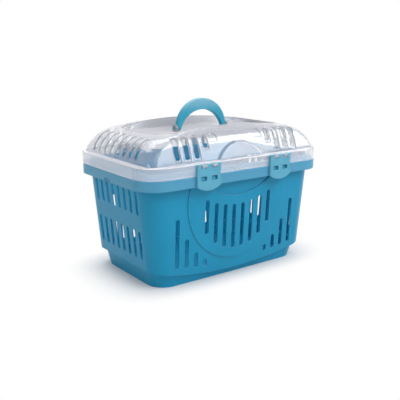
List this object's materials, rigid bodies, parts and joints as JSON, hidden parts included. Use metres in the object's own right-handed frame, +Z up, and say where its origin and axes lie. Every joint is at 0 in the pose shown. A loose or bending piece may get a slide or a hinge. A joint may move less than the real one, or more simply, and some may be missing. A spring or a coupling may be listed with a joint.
{
  "type": "pet carrier",
  "caption": "small-pet carrier: blue slotted plastic tub with a clear hinged dome lid, snap clips on its long sides and a folding arched handle",
  "frame": {"origin": "middle of the flat foot the carrier stands on", "axes": "+X runs along the length, +Y points to the back where the lid's hinge bars are, the side with the two opening clips faces -Y, +Z is up"},
  "size_m": [0.4, 0.2736, 0.312],
  "materials": {
    "tub": "moulded opaque blue polypropylene, satin gloss",
    "lid": "moulded clear plastic with a faint lavender tint",
    "handle": "moulded light blue polypropylene, satin gloss",
    "clip": "moulded light blue polypropylene, satin gloss"
  },
  "bodies": {
    "tub": {"tub": "tub", "rear_left_clip": "clip", "rear_right_clip": "clip"},
    "lid": {"lid": "lid"},
    "handle": {"handle": "handle"},
    "front_left_clip": {"front_left_clip": "clip"},
    "front_right_clip": {"front_right_clip": "clip"}
  },
  "joints": [
    {"name": "lid_hinge", "type": "hinge", "parent": "tub", "child": "lid", "pos_m": [0, 0.1327, 0.215], "axis": [-1, 0, 0], "range_deg": [0, 105]},
    {"name": "handle_fold", "type": "hinge", "parent": "lid", "child": "handle", "pos_m": [0, 0, 0.2602], "axis": [1, 0, 0], "range_deg": [-90, 90]},
    {"name": "front_left_clip_hinge", "type": "hinge", "parent": "lid", "child": "front_left_clip", "pos_m": [-0.0805, -0.1327, 0.215], "axis": [-1, 0, 0], "range_deg": [0, 100]},
    {"name": "front_right_clip_hinge", "type": "hinge", "parent": "lid", "child": "front_right_clip", "pos_m": [0.0805, -0.1327, 0.215], "axis": [-1, 0, 0], "range_deg": [0, 100]}
  ]
}
